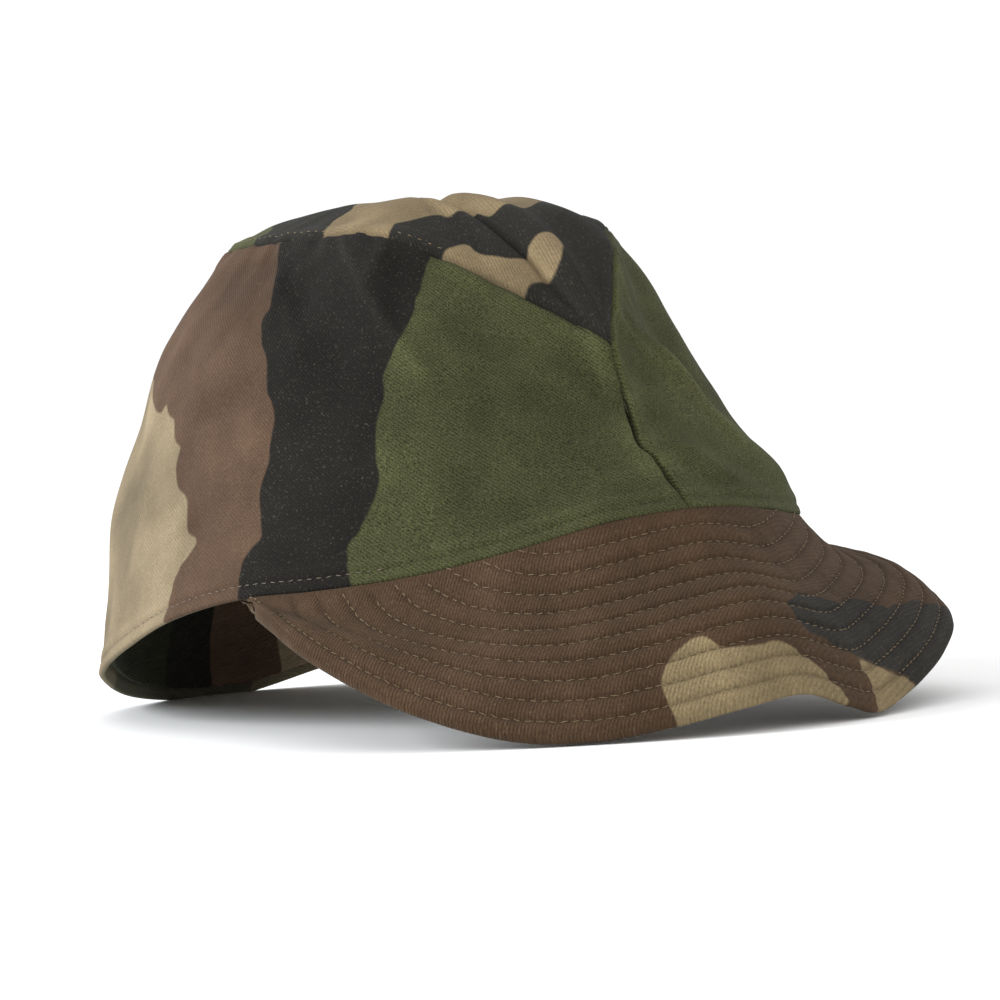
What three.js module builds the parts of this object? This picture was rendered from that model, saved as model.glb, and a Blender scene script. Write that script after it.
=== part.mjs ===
// Field cap: a soft cloth crown of three panels on an oval rim, a flared cloth peak,
// and a neck flap folded up inside the back of the crown.
import * as THREE from 'three';

// Millimetres. +Z is up, the peak points to -Y, and the wearer's right is -X.
// Angles are degrees round the head, from 0 at the front, through 90 on the wearer's right
// and 180 at the back, to 270 on the wearer's left. The peak also counts below 0.
const rimHalfLength = 100;
const rimHalfWidth = 80.6;
const rimEggShape = 0.035;
const rimCentreFromOrigin = { x: 0.15, y: 19.25 };
const clothThickness = 1.6;
const seamGap = 0.3;
const tipGap = 1.2;
const sideColumns = 36;

// Height of the crown's lower edge. The cap stands on the back of it.
const rimHeight = [
  { angle: 0, z: 50.2 }, { angle: 15, z: 48.2 }, { angle: 30, z: 43.0 }, { angle: 45, z: 38.2 },
  { angle: 60, z: 35.4 }, { angle: 75, z: 33.4 }, { angle: 90, z: 28.2 }, { angle: 105, z: 20.6 },
  { angle: 120, z: 14.2 }, { angle: 135, z: 9.6 }, { angle: 150, z: 4.0 }, { angle: 165, z: 0.8 },
  { angle: 172, z: 0 }, { angle: 184, z: 0 }, { angle: 190, z: 1.6 }, { angle: 200, z: 5.2 },
  { angle: 210, z: 9.0 }, { angle: 225, z: 16.0 }, { angle: 240, z: 23.5 },
  { angle: 270, z: 34.5 }, { angle: 300, z: 42.0 }, { angle: 330, z: 46.5 }, { angle: 360, z: 50.2 },
];

// The seam between the side panels and the top panel: pointed at the front, round at the back.
const topSeam = [
  { angle: 0, x: -5, y: -80, z: 88.5 }, { angle: 20, x: -22, y: -59, z: 104.5 },
  { angle: 42, x: -40, y: -38, z: 117.2 }, { angle: 62, x: -44.5, y: -19, z: 118 },
  { angle: 90, x: -45.5, y: 5, z: 117.4 }, { angle: 120, x: -39, y: 28, z: 116 },
  { angle: 150, x: -23, y: 42, z: 114.5 }, { angle: 180, x: -3, y: 48, z: 113.5 },
  { angle: 210, x: 18, y: 42, z: 114.5 }, { angle: 240, x: 35, y: 27, z: 116.5 },
  { angle: 270, x: 40, y: 4, z: 119 }, { angle: 298, x: 30.5, y: -31, z: 118.5 },
  { angle: 318, x: 18, y: -53, z: 114.5 }, { angle: 342, x: 6, y: -68, z: 103 },
  { angle: 360, x: -5, y: -80, z: 88.5 },
];
const summit = new THREE.Vector3(0, -25, 124.5);

// How far the side walls belly out between rim and seam.
const sideBulge = [
  { angle: 0, out: -4 }, { angle: 30, out: 1 }, { angle: 60, out: 5 }, { angle: 90, out: 8 },
  { angle: 120, out: 10 }, { angle: 180, out: 11 }, { angle: 240, out: 10 }, { angle: 270, out: 6 },
  { angle: 300, out: 2.4 }, { angle: 330, out: -0.8 }, { angle: 360, out: -4 },
];
const bulgeLift = 0.35;
const bulgeLowness = 1.15;

// Folds of the side walls: a soft ridge or dent along a line from one angle and share of
// the height to another.
const sideFolds = [
  { angle: 342, up: 0.92, toAngle: 334, toUp: 0.6, height: 1.6, halfWidth: 7 },
  { angle: 335, up: 0.6, toAngle: 326, toUp: 0.25, height: 1.8, halfWidth: 8 },
  { angle: 314, up: 0.84, toAngle: 320, toUp: 0.46, height: -4.6, halfWidth: 13 },
  { angle: 322, up: 0.12, toAngle: 306, toUp: 0.06, height: 3.2, halfWidth: 12 },
  { angle: 352, up: 0.32, toAngle: 340, toUp: 0.06, height: 1.6, halfWidth: 6 },
  { angle: 8, up: 0.55, toAngle: 14, toUp: 0.1, height: 1.2, halfWidth: 8 },
  { angle: 65, up: 0.82, toAngle: 58, toUp: 0.7, height: -1.6, halfWidth: 8 },
  { angle: 66, up: 0.98, toAngle: 72, toUp: 0.86, height: 1.2, halfWidth: 6 },
  { angle: 46, up: 0.86, toAngle: 40, toUp: 0.6, height: 1.3, halfWidth: 7 },
  { angle: 128, up: 0.64, toAngle: 112, toUp: 0.52, height: -1.8, halfWidth: 9 },
  { angle: 132, up: 0.24, toAngle: 118, toUp: 0.18, height: -1.2, halfWidth: 9 },
  { angle: 150, up: 0.75, toAngle: 128, toUp: 0.5, height: -1.6, halfWidth: 10 },
  { angle: 205, up: 0.85, toAngle: 226, toUp: 0.55, height: -2.0, halfWidth: 10 },
  { angle: 252, up: 0.9, toAngle: 262, toUp: 0.55, height: 1.5, halfWidth: 9 },
];
const wallMmPerDegree = 1.5;
const wallMmHigh = 85;

// Folds of the top panel, along lines in plan. The first two are the sides of one pleat
// that runs back from the front point.
const topFolds = [
  { x: -5, y: -72, toX: -7, toY: -24, height: 2.6, halfWidth: 4.5 },
  { x: -9, y: -70, toX: -13, toY: -22, height: -1.6, halfWidth: 3.5 },
  { x: -17, y: -58, toX: -20, toY: -26, height: 1.6, halfWidth: 4.5 },
  { x: 10, y: -52, toX: 16, toY: -10, height: 1.8, halfWidth: 8 },
  { x: -28, y: -20, toX: -31, toY: 18, height: 3.6, halfWidth: 9 },
  { x: -6, y: 2, toX: 22, toY: 14, height: -1.6, halfWidth: 9 },
  { x: -18, y: 30, toX: 6, toY: 36, height: 1.6, halfWidth: 7 },
];
const foldFade = 0.7;

// Lower outer edge of the peak: it hangs at the front and touches down at two lobes.
const peakEdge = [
  { angle: -76, x: 78, y: -25, z: 36.3 }, { angle: -71, x: 88, y: -50, z: 30 },
  { angle: -66, x: 91.2, y: -67.5, z: 25 }, { angle: -60, x: 87.9, y: -85.6, z: 20.6 },
  { angle: -52, x: 78.6, y: -102, z: 15.8 }, { angle: -44, x: 64.8, y: -114, z: 10.6 },
  { angle: -35, x: 49.5, y: -123.5, z: 5.8 }, { angle: -28, x: 37.8, y: -129.3, z: 2.6 },
  { angle: -20, x: 25.5, y: -134.5, z: 0.3 }, { angle: -12, x: 15, y: -137, z: 2.6 },
  { angle: 0, x: 0, y: -138.5, z: 6.8 },
  { angle: 12, x: -17, y: -137, z: 5 }, { angle: 24, x: -34, y: -132, z: 2 },
  { angle: 35, x: -50.5, y: -124, z: 0 }, { angle: 44, x: -65, y: -114, z: 1 },
  { angle: 52, x: -77.5, y: -101.5, z: 6 }, { angle: 60, x: -87.5, y: -85.5, z: 14 },
  { angle: 66, x: -91.5, y: -68, z: 22.4 }, { angle: 71, x: -88, y: -50, z: 29 },
  { angle: 76, x: -78, y: -25, z: 34 },
];
const peakEndAngle = 75.3;
const peakWidthAtFront = 55;
const peakCrown = { middle: 2.6, tilt: 0.2, dip: 2.5 };
const peakThickness = { tuck: 1.2, middle: 2.6, edge: 2.0 };
const peakTuckUp = 0.06;
const peakStep = 0.5;

// The neck flap, folded up against the inside of the back of the crown.
const flapFrom = 82;
const flapTo = 278;
const flapFoot = 0.03;
const flapTop = 0.5;
const flapThickness = 1.4;
const flapGap = 0.5;

const cloth = {
  side_panel_right: { color: 0x4a4a38, roughness: 0.92 },
  side_panel_left: { color: 0x505c37, roughness: 0.92 },
  crown_top: { color: 0x323232, roughness: 0.92 },
  peak: { color: 0x5f4b3e, roughness: 0.9 },
  neck_flap: { color: 0x8c8463, roughness: 0.95 },
};

const radians = THREE.MathUtils.degToRad;
const wrap = (angle) => (angle < 0 ? angle + 360 : angle);

// Smooth curve through one column of a table, read by angle.
// A closed table runs on from its last row to its first.
function smooth(rows, column, closed) {
  const last = rows.length - 1;
  const step = (i) => rows[i + 1].angle - rows[i].angle;
  const rise = (i) => (rows[i + 1][column] - rows[i][column]) / step(i);
  const between = (i, j) => (rise(i) * step(j) + rise(j) * step(i)) / (step(i) + step(j));
  const slope = rows.map((row, i) => {
    if (i > 0 && i < last) return between(i - 1, i);
    if (closed) return between(last - 1, 0);
    return i === 0 ? rise(0) : rise(last - 1);
  });
  return (angle) => {
    let i = 0;
    while (i < last - 1 && angle > rows[i + 1].angle) i += 1;
    const h = step(i);
    const t = (angle - rows[i].angle) / h;
    const start = rows[i][column] + t * t * (3 - 2 * t) * (rows[i + 1][column] - rows[i][column]);
    return start + h * t * (1 - t) * ((1 - t) * slope[i] - t * slope[i + 1]);
  };
}

const rimZ = smooth(rimHeight, 'z', true);
const seamX = smooth(topSeam, 'x', false);
const seamY = smooth(topSeam, 'y', false);
const seamZ = smooth(topSeam, 'z', false);
const bulgeOut = smooth(sideBulge, 'out', true);
const edgeX = smooth(peakEdge, 'x', false);
const edgeY = smooth(peakEdge, 'y', false);
const edgeZ = smooth(peakEdge, 'z', false);

function rimPoint(angle) {
  const a = radians(angle);
  const x = -rimHalfWidth * Math.sin(a) * (1 + rimEggShape * Math.cos(a));
  return new THREE.Vector3(x, -rimHalfLength * Math.cos(a), Math.max(0, rimZ(wrap(angle))));
}

// Level direction straight out from the rim.
function rimOut(angle) {
  const a = radians(angle);
  return new THREE.Vector3(-Math.sin(a) / rimHalfWidth, -Math.cos(a) / rimHalfLength, 0).normalize();
}

const seamPoint = (angle) => new THREE.Vector3(seamX(angle), seamY(angle), seamZ(angle));

// Height of a fold at a point, from its distance to the fold's line. Both are in millimetres.
function foldHeight(fold, x, y, fromX, fromY, toX, toY) {
  const dx = toX - fromX;
  const dy = toY - fromY;
  const length = Math.hypot(dx, dy);
  const along = ((x - fromX) * dx + (y - fromY) * dy) / length;
  const across = ((x - fromX) * dy - (y - fromY) * dx) / length;
  const beyond = Math.max(-along, along - length, 0) * foldFade;
  return fold.height * Math.exp(-(across ** 2 + beyond ** 2) / fold.halfWidth ** 2);
}

function sideFoldHeight(angle, up) {
  const x = angle * wallMmPerDegree;
  const y = up * wallMmHigh;
  const fades = Math.sin(Math.PI * up) ** 0.5;
  const heights = sideFolds.map((fold) => foldHeight(
    fold, x, y, fold.angle * wallMmPerDegree, fold.up * wallMmHigh,
    fold.toAngle * wallMmPerDegree, fold.toUp * wallMmHigh,
  ));
  return fades * heights.reduce((sum, height) => sum + height, 0);
}

// A point on the outside of the side walls, at a share of the height from rim to top seam.
function wallPoint(angle, up) {
  const round = wrap(angle);
  const point = rimPoint(angle).lerp(seamPoint(round), up);
  const belly = bulgeOut(round) * Math.sin(Math.PI * up ** bulgeLowness);
  const fold = up > 0 && up < 1 ? sideFoldHeight(round, up) : 0;
  const out = rimOut(angle);
  out.z = bulgeLift;
  return point.addScaledVector(out, belly + fold);
}

// A point on the top panel, at a share of the way from the summit to the seam.
function topPoint(angle, share) {
  const seam = seamPoint(wrap(angle));
  const point = summit.clone().lerp(seam, share);
  point.z = seam.z * share ** 2 + summit.z * (1 - share ** 2);
  const folds = topFolds.map((fold) => foldHeight(
    fold, point.x, point.y, fold.x, fold.y, fold.toX, fold.toY,
  ));
  point.z += (1 - share ** 4) * folds.reduce((sum, height) => sum + height, 0);
  return point;
}

// A point on the upper face of the peak, at a share of the way from its seam to its edge.
function peakPoint(angle, share) {
  const seam = rimPoint(angle);
  seam.z -= peakStep;
  const edge = new THREE.Vector3(edgeX(angle), edgeY(angle), edgeZ(angle));
  const width = seam.distanceTo(edge) / peakWidthAtFront;
  const point = seam.lerp(edge, share);
  const crown = peakCrown.middle - peakCrown.tilt * Math.sin(radians(angle));
  point.z += width * crown * Math.sin(Math.PI * share);
  point.z -= width * peakCrown.dip * Math.sin(2 * Math.PI * share);
  point.z += Math.min(1, 2 * width) * peakThickness.edge * share ** 2;
  return point;
}

// Outward normal of a surface given as point(angle, share).
function normalAt(surface, angle, share) {
  const du = surface(angle + 0.5, share).sub(surface(angle - 0.5, share));
  const dv = surface(angle, share + 0.01).sub(surface(angle, share - 0.01));
  return dv.cross(du).normalize();
}

const wallNormal = (angle, up) => normalAt(wallPoint, angle, up);
const topNormal = (angle) => normalAt(topPoint, angle, 0.97).negate();

// Inward direction and depth where panels meet, shared so that their edges stay parallel.
function mitre(normals) {
  const middle = new THREE.Vector3();
  normals.forEach((normal) => middle.add(normal));
  middle.normalize();
  return middle.multiplyScalar(1 / Math.max(0.75, middle.dot(normals[0])));
}

const topMitre = (angle) => mitre([wallNormal(angle, 0.97), topNormal(angle)]);
const frontMitre = (up) => mitre([wallNormal(1, up), wallNormal(359, up)]);
const backMitre = (up) => mitre([wallNormal(179, up), wallNormal(181, up)]);
const tipMitre = (angle) => mitre([wallNormal(angle + 1, 0.97), wallNormal(359 - angle, 0.97), topNormal(angle + 1)]);

const steps = (from, to, count) => Array.from({ length: count + 1 }, (_, i) => from + (to - from) * i / count);

// Triangles of a grid of points stored column by column, facing out.
function gridTriangles(columns, rows) {
  const triangles = [];
  for (let i = 0; i + 1 < columns; i += 1) {
    for (let j = 0; j + 1 < rows; j += 1) {
      const a = i * rows + j;
      const b = a + rows;
      triangles.push([a, a + 1, b + 1], [a, b + 1, b]);
    }
  }
  return triangles;
}

// Closed solid from an open skin and its inner copy, with a strip along every free edge.
function solidBetween(outer, inner, triangles) {
  const count = outer.length;
  const faces = [];
  const free = new Map();
  for (const [a, b, c] of triangles) {
    faces.push(a, b, c, a + count, c + count, b + count);
    for (const [from, to] of [[a, b], [b, c], [c, a]]) {
      if (!free.delete(`${to} ${from}`)) free.set(`${from} ${to}`, [from, to]);
    }
  }
  for (const [from, to] of free.values()) {
    faces.push(to, from, from + count, to, from + count, to + count);
  }
  const geometry = new THREE.BufferGeometry();
  const points = [...outer, ...inner].flatMap((point) => point.toArray());
  geometry.setAttribute('position', new THREE.Float32BufferAttribute(points, 3));
  geometry.setIndex(faces);
  geometry.computeVertexNormals();
  return geometry;
}

// One side panel, between the front and back seams.
function sidePanel(fromAngle, toAngle, sideways) {
  const angles = steps(fromAngle, toAngle, sideColumns);
  const ups = steps(0, 1, 13);
  const outer = [];
  const inner = [];
  for (const angle of angles) {
    const onFront = angle === 0 || angle === 360;
    const onBack = angle === 180;
    const tall = rimPoint(angle).distanceTo(seamPoint(angle));
    for (const up of ups) {
      const height = Math.min(up, 1 - seamGap / tall);
      const point = wallPoint(angle, height);
      let inward = wallNormal(angle, Math.min(Math.max(up, 0.02), 0.97));
      if (up === 1) inward = topMitre(angle);
      if (onFront) inward = up === 1 ? tipMitre(0) : frontMitre(up);
      if (onBack) inward = up === 1 ? mitre([wallNormal(180, 0.97), topNormal(180)]) : backMitre(up);
      if (up === 0) inward = rimOut(angle);
      point.x += sideways * seamGap / 2;
      outer.push(point);
      inner.push(point.clone().addScaledVector(inward, -clothThickness));
    }
  }
  return solidBetween(outer, inner, gridTriangles(angles.length, ups.length));
}

// The top panel, as rings round the summit.
function topPanel() {
  const angles = steps(0, 360, 2 * sideColumns).slice(0, -1);
  const shares = steps(0, 1, 7).slice(1);
  const rings = shares.length;
  const outer = [topPoint(0, 0)];
  const inner = [topPoint(0, 0).setZ(outer[0].z - clothThickness)];
  for (const angle of angles) {
    const setBack = (angle === 0 ? tipGap : seamGap) / seamPoint(angle).distanceTo(summit);
    for (const share of shares) {
      const point = topPoint(angle, Math.min(share, 1 - setBack));
      let inward = normalAt(topPoint, angle + 0.01, Math.min(share, 0.97)).negate();
      if (share === 1) inward = angle === 0 ? tipMitre(0) : topMitre(angle);
      outer.push(point);
      inner.push(point.clone().addScaledVector(inward, -clothThickness));
    }
  }
  const triangles = [];
  angles.forEach((angle, i) => {
    const a = 1 + i * rings;
    const b = 1 + ((i + 1) % angles.length) * rings;
    triangles.push([0, b, a]);
    for (let j = 0; j + 1 < rings; j += 1) {
      triangles.push([a + j, b + j + 1, a + j + 1], [a + j, b + j, b + j + 1]);
    }
  });
  return solidBetween(outer, inner, triangles);
}

// The peak: its upper face starts inside the crown, passes under the crown's edge and runs out
// to the outer edge; the lower face lies one thickness below and is flat where it touches down.
function peakSolid() {
  const angles = steps(-peakEndAngle, peakEndAngle, 34);
  const shares = steps(0, 1, 8);
  const inside = clothThickness + seamGap + 0.1;
  const outer = [];
  const inner = [];
  for (const angle of angles) {
    const out = rimOut(angle);
    const tuckNormal = wallNormal(angle, peakTuckUp);
    const tuck = wallPoint(angle, peakTuckUp).addScaledVector(tuckNormal, -inside);
    const turn = rimPoint(angle).addScaledVector(out, -inside);
    turn.z -= peakStep;
    outer.push(tuck, turn);
    inner.push(tuck.clone().addScaledVector(tuckNormal, -peakThickness.tuck));
    inner.push(turn.clone().addScaledVector(out, -peakThickness.tuck).setZ(turn.z - peakThickness.tuck));
    for (const share of shares) {
      const point = peakPoint(angle, share);
      const normal = normalAt(peakPoint, angle, Math.min(Math.max(share, 0.02), 0.98));
      const middling = Math.sin(Math.PI * Math.min(1, share + 0.15));
      const depth = THREE.MathUtils.lerp(peakThickness.edge, peakThickness.middle, middling);
      const under = point.clone().addScaledVector(normal.z < 0 ? normal : normal.negate(), depth);
      under.z = Math.max(0, under.z);
      outer.push(point);
      inner.push(under);
    }
  }
  const skin = gridTriangles(angles.length, shares.length + 2);
  return solidBetween(outer, inner, skin.map(([a, b, c]) => [a, c, b]));
}

// The folded neck flap, a strip that follows the inside of the crown round the back.
function neckFlap() {
  const angles = steps(flapFrom, flapTo, 30);
  const ups = steps(0, 1, 5);
  const outer = [];
  const inner = [];
  for (const angle of angles) {
    for (const up of ups) {
      const height = flapFoot + (flapTop - flapFoot) * up;
      const normal = wallNormal(angle, height);
      const point = wallPoint(angle, height).addScaledVector(normal, -clothThickness - flapGap);
      outer.push(point);
      inner.push(point.clone().addScaledVector(normal, -flapThickness));
    }
  }
  return solidBetween(outer, inner, gridTriangles(angles.length, ups.length));
}

function makeMesh(name, geometry) {
  const { color, roughness } = cloth[name];
  const material = new THREE.MeshStandardMaterial({ color, roughness, metalness: 0 });
  const mesh = new THREE.Mesh(geometry, material);
  mesh.name = name;
  return mesh;
}

const cap = new THREE.Group();
cap.name = 'field_cap';
cap.add(makeMesh('side_panel_right', sidePanel(0, 180, -1)));
cap.add(makeMesh('side_panel_left', sidePanel(180, 360, 1)));
cap.add(makeMesh('crown_top', topPanel()));
cap.add(makeMesh('peak', peakSolid()));
cap.add(makeMesh('neck_flap', neckFlap()));
cap.position.set(rimCentreFromOrigin.x, rimCentreFromOrigin.y, 0);

export default cap;
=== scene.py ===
# A soft field cap in printed cotton twill: crown of three panels, quilted peak, folded-in neck flap.
import math
import bpy
import numpy as np
from mathutils import Matrix, Vector


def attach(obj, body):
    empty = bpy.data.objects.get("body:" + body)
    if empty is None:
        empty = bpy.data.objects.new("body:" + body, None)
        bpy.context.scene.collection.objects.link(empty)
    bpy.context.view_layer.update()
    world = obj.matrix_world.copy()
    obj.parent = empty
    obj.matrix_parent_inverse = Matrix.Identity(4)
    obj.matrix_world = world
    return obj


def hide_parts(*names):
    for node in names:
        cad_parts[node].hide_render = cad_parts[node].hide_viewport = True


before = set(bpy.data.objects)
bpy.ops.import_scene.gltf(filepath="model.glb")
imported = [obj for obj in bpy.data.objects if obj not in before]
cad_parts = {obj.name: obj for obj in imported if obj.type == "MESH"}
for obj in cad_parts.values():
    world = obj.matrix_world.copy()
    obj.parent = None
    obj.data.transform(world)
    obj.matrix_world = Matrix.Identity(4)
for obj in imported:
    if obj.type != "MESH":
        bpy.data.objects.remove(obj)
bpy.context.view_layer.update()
mm = 0.001


# Shape of the cap, as in the part. Angles are degrees round the head: 0 front, 90 wearer's right (-X),
# 180 back, 270 wearer's left. Lengths here are millimetres from the middle of the rim.
rim = {"halfLength": 100.0, "halfWidth": 80.6, "egg": 0.035, "centre": (0.15, 19.25, 0.0)}
rimHeight = [  # angle, z
    (0, 50.2), (15, 48.2), (30, 43.0), (45, 38.2), (60, 35.4), (75, 33.4), (90, 28.2), (105, 20.6),
    (120, 14.2), (135, 9.6), (150, 4.0), (165, 0.8), (172, 0), (184, 0), (190, 1.6), (200, 5.2),
    (210, 9.0), (225, 16.0), (240, 23.5), (270, 34.5), (300, 42.0), (330, 46.5), (360, 50.2)]
topSeam = [  # angle, x, y, z
    (0, -5, -80, 88.5), (20, -22, -59, 104.5), (42, -40, -38, 117.2), (62, -44.5, -19, 118),
    (90, -45.5, 5, 117.4), (120, -39, 28, 116), (150, -23, 42, 114.5), (180, -3, 48, 113.5),
    (210, 18, 42, 114.5), (240, 35, 27, 116.5), (270, 40, 4, 119), (298, 30.5, -31, 118.5),
    (318, 18, -53, 114.5), (342, 6, -68, 103), (360, -5, -80, 88.5)]
summit = np.array([0.0, -25.0, 124.5])
sideBulge = [  # angle, outward belly
    (0, -4), (30, 1), (60, 5), (90, 8), (120, 10), (180, 11), (240, 10), (270, 6), (300, 2.4), (330, -0.8),
    (360, -4)]
side = {"lift": 0.35, "lowness": 1.15, "mmPerDegree": 1.5, "mmHigh": 85.0}
sideFolds = [  # angle, up, to angle, to up, height, half width
    (342, 0.92, 334, 0.6, 1.6, 7), (335, 0.6, 326, 0.25, 1.8, 8), (314, 0.84, 320, 0.46, -4.6, 13),
    (322, 0.12, 306, 0.06, 3.2, 12), (352, 0.32, 340, 0.06, 1.6, 6), (8, 0.55, 14, 0.1, 1.2, 8),
    (65, 0.82, 58, 0.7, -1.6, 8), (66, 0.98, 72, 0.86, 1.2, 6), (46, 0.86, 40, 0.6, 1.3, 7),
    (128, 0.64, 112, 0.52, -1.8, 9), (132, 0.24, 118, 0.18, -1.2, 9), (150, 0.75, 128, 0.5, -1.6, 10),
    (205, 0.85, 226, 0.55, -2.0, 10), (252, 0.9, 262, 0.55, 1.5, 9)]
topFolds = [  # x, y, to x, to y, height, half width
    (-5, -72, -7, -24, 2.6, 4.5), (-9, -70, -13, -22, -1.6, 3.5), (-17, -58, -20, -26, 1.6, 4.5),
    (10, -52, 16, -10, 1.8, 8), (-28, -20, -31, 18, 3.6, 9), (-6, 2, 22, 14, -1.6, 9),
    (-18, 30, 6, 36, 1.6, 7)]
foldFade = 0.7  # how fast a fold dies out past its two ends
peakEdge = [  # angle, x, y, z of the lower outer edge
    (-76, 78, -25, 36.3), (-71, 88, -50, 30), (-66, 91.2, -67.5, 25), (-60, 87.9, -85.6, 20.6),
    (-52, 78.6, -102, 15.8), (-44, 64.8, -114, 10.6), (-35, 49.5, -123.5, 5.8), (-28, 37.8, -129.3, 2.6),
    (-20, 25.5, -134.5, 0.3), (-12, 15, -137, 2.6), (0, 0, -138.5, 6.8), (12, -17, -137, 5),
    (24, -34, -132, 2), (35, -50.5, -124, 0), (44, -65, -114, 1), (52, -77.5, -101.5, 6),
    (60, -87.5, -85.5, 14), (66, -91.5, -68, 22.4), (71, -88, -50, 29), (76, -78, -25, 34)]
peak = {"end": 75.3, "width": 55.0, "middle": 2.6, "tilt": 0.2, "dip": 2.5, "thickEdge": 2.0,
        "thickMiddle": 2.6, "thickTuck": 1.2, "tuckUp": 0.06, "step": 0.5, "inside": 2.0}


def wrap(angle):
    return np.where(angle < 0, angle + 360.0, angle)


def inTurn(angle):  # the same place within one turn, for the closed tables
    return np.where(angle > 360.0, angle - 360.0, wrap(angle))


def smoothTable(rows, closed=False):
    table = np.array(rows, float)
    at, value = table[:, 0], table[:, 1:]
    step = np.diff(at)[:, None]
    rise = np.diff(value, axis=0) / step
    slope = np.empty_like(value)
    slope[1:-1] = (rise[:-1] * step[1:] + rise[1:] * step[:-1]) / (step[1:] + step[:-1])
    slope[0], slope[-1] = rise[0], rise[-1]
    if closed:
        slope[0] = slope[-1] = (rise[-1] * step[0] + rise[0] * step[-1]) / (step[0] + step[-1])

    def read(angle):
        angle = np.asarray(angle, float)
        i = np.clip(np.searchsorted(at, angle, side="left") - 1, 0, len(at) - 2)
        h = step[i]
        t = ((angle - at[i])[..., None]) / h
        blend = value[i] + t * t * (3 - 2 * t) * (value[i + 1] - value[i])
        return blend + h * t * (1 - t) * ((1 - t) * slope[i] - t * slope[i + 1])
    return read


rimZ = smoothTable(rimHeight, closed=True)
seamAt = smoothTable(topSeam)
bulgeAt = smoothTable(sideBulge, closed=True)
edgeAt = smoothTable(peakEdge)


def unit(vectors):
    return vectors / np.maximum(np.linalg.norm(vectors, axis=-1, keepdims=True), 1e-9)


def rimPoint(angle):
    a = np.radians(angle)
    x = -rim["halfWidth"] * np.sin(a) * (1 + rim["egg"] * np.cos(a))
    return np.stack([x, -rim["halfLength"] * np.cos(a), np.maximum(0, rimZ(inTurn(angle))[..., 0])], -1)


def rimOut(angle):
    a = np.radians(angle)
    return unit(np.stack([-np.sin(a) / rim["halfWidth"], -np.cos(a) / rim["halfLength"], 0 * a], -1))


def foldHeight(x, y, fromX, fromY, toX, toY, height, halfWidth):
    dx, dy = toX - fromX, toY - fromY
    length = math.hypot(dx, dy)
    along = ((x - fromX) * dx + (y - fromY) * dy) / length
    across = ((x - fromX) * dy - (y - fromY) * dx) / length
    beyond = np.maximum(np.maximum(-along, along - length), 0) * foldFade
    return height * np.exp(-(across ** 2 + beyond ** 2) / halfWidth ** 2)


def wallPoint(angle, up):
    angle, up = np.broadcast_arrays(np.asarray(angle, float), np.asarray(up, float))
    turn = wrap(angle)
    foot, seam = rimPoint(angle), seamAt(inTurn(angle))
    k, high = side["mmPerDegree"], side["mmHigh"]
    folds = sum(foldHeight(turn * k, up * high, a * k, u * high, b * k, v * high, size, half)
                for a, u, b, v, size, half in sideFolds)
    arch = np.clip(np.sin(np.pi * up), 0, 1)
    belly = bulgeAt(inTurn(angle))[..., 0] * np.sin(np.pi * up ** side["lowness"]) + folds * np.sqrt(arch)
    out = rimOut(angle) + np.array([0, 0, side["lift"]])
    return foot + (seam - foot) * up[..., None] + out * belly[..., None]


def topPoint(angle, share):
    angle, share = np.broadcast_arrays(np.asarray(angle, float), np.asarray(share, float))
    seam = seamAt(wrap(angle))
    point = summit + (seam - summit) * share[..., None]
    point[..., 2] = seam[..., 2] * share ** 2 + summit[2] * (1 - share ** 2)
    x, y = point[..., 0], point[..., 1]
    folds = sum(foldHeight(x, y, *fold) for fold in topFolds)
    point[..., 2] += (1 - share ** 4) * folds
    return point


def peakPoint(angle, share):
    angle, share = np.broadcast_arrays(np.asarray(angle, float), np.asarray(share, float))
    seam = rimPoint(angle) - np.array([0, 0, peak["step"]])
    edge = edgeAt(angle)
    width = np.linalg.norm(edge - seam, axis=-1) / peak["width"]
    point = seam + (edge - seam) * share[..., None]
    crown = peak["middle"] - peak["tilt"] * np.sin(np.radians(angle))
    point[..., 2] += width * (crown * np.sin(np.pi * share) - peak["dip"] * np.sin(2 * np.pi * share))
    point[..., 2] += np.minimum(1, 2 * width) * peak["thickEdge"] * share ** 2
    return point


def gridNormals(points, outwards):
    across = np.gradient(points, axis=0)
    along = np.gradient(points, axis=1)
    normals = unit(np.cross(across, along))
    facing = np.sum(normals * outwards, axis=-1).mean()
    return normals if facing > 0 else -normals


def spread(count, crowding):  # shares from 0 to 1, closer together at both ends
    t = np.linspace(0, 1, count)
    return t - crowding * np.sin(2 * np.pi * t) / (2 * np.pi)


def softNoise(x, y, size, seed):  # smooth noise from -1 to 1 with lumps of the given size
    cells = 64
    lattice = np.random.RandomState(seed).uniform(-1, 1, (cells, cells))
    u, v = x / size + 1000, y / size + 1000
    i, j = np.floor(u).astype(int), np.floor(v).astype(int)
    s, t = u - i, v - j
    s, t = s * s * (3 - 2 * s), t * t * (3 - 2 * t)
    read = lambda a, b: lattice[a % cells, b % cells]
    near = read(i, j) * (1 - s) + read(i + 1, j) * s
    far = read(i, j + 1) * (1 - s) + read(i + 1, j + 1) * s
    return near * (1 - t) + far * t


def ridge(distance, place, width):
    return np.exp(-((distance - place) / width) ** 2)


def plateau(distance, start, end, softness):
    rise = 1 / (1 + np.exp(-(distance - start) / softness))
    return rise - 1 / (1 + np.exp(-(distance - end) / softness))


# The print: four inks, laid on as charted patches. A patch covers what is under it.
inks = ("green", "tan", "brown", "black")  # in the order they are printed
ragged = ((10.0, 1.0), (3.0, 0.35))  # lump size and reach of the uneven ink edges, mm, coarse and fine
cornerCuts = (0.22, 0.25)  # the share cut off at both ends of each side of a patch, twice over
allOver = 40.0  # ink depth in mm where a panel's ground has no edge near


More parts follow.
